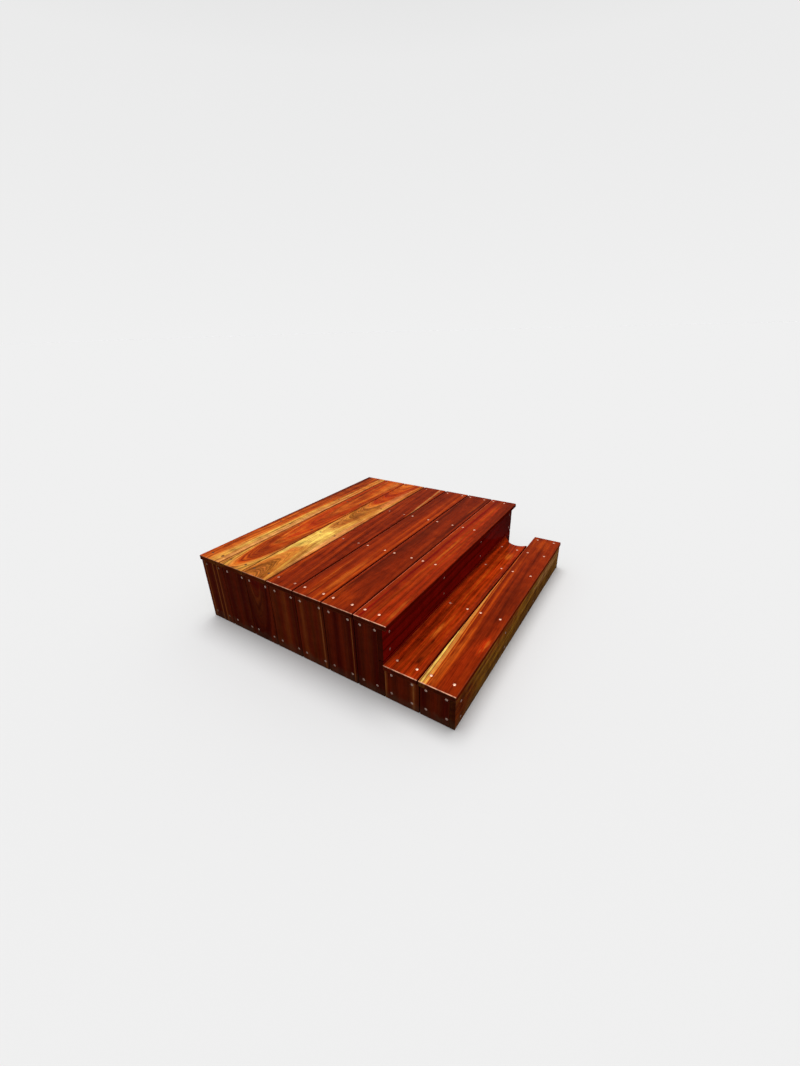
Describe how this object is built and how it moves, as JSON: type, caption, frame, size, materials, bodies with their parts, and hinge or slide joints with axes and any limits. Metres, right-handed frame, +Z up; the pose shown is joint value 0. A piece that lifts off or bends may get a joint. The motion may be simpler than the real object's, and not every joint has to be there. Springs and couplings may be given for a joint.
{
  "type": "timber deck stairs",
  "caption": "Low hardwood deck box with a step along its front, upright cladding on its free end and a tread cut round for a downpipe.",
  "frame": {"origin": "on the ground, in the middle of the footprint", "axes": "+X along the boards towards the side wall with the downpipe, +Y towards the door wall, +Z up; the step faces -Y"},
  "size_m": [1.21, 1.206, 0.309],
  "materials": {
    "decking": "oiled red hardwood, glossy, with pale sapwood stripes",
    "tread": "oiled red hardwood, glossy",
    "riser": "oiled dark red hardwood, glossy",
    "cladding": "oiled dark red-brown hardwood, satin",
    "framing": "treated softwood, dressed, matt, pale green-brown"
  },
  "bodies": {
    "root": {"deck_board_1": "decking", "deck_board_2": "decking", "deck_board_3": "decking", "deck_board_4": "decking", "deck_board_5": "decking", "deck_board_6": "decking", "deck_board_7": "decking", "tread_board_1": "tread", "tread_board_2": "tread", "upper_riser": "riser", "lower_riser": "riser", "step_riser": "riser", "side_board_1": "cladding", "side_board_2": "cladding", "side_board_3": "cladding", "side_board_4": "cladding", "side_board_5": "cladding", "side_board_6": "cladding", "side_board_7": "cladding", "step_side_board_1": "cladding", "step_side_board_2": "cladding", "back_rim_joist": "framing", "joist_1": "framing", "joist_2": "framing", "joist_3": "framing", "joist_4": "framing", "back_post_1": "framing", "back_post_2": "framing", "back_post_3": "framing", "back_post_4": "framing", "front_post_1": "framing", "front_post_2": "framing", "front_post_3": "framing", "front_post_4": "framing", "sleeper_1": "framing", "sleeper_2": "framing", "sleeper_3": "framing", "sleeper_4": "framing", "step_plate_back": "framing", "step_plate_front": "framing", "step_joist_1": "framing", "step_joist_2": "framing", "step_joist_3": "framing", "step_joist_4": "framing", "step_joist_5": "framing"}
  },
  "joints": []
}
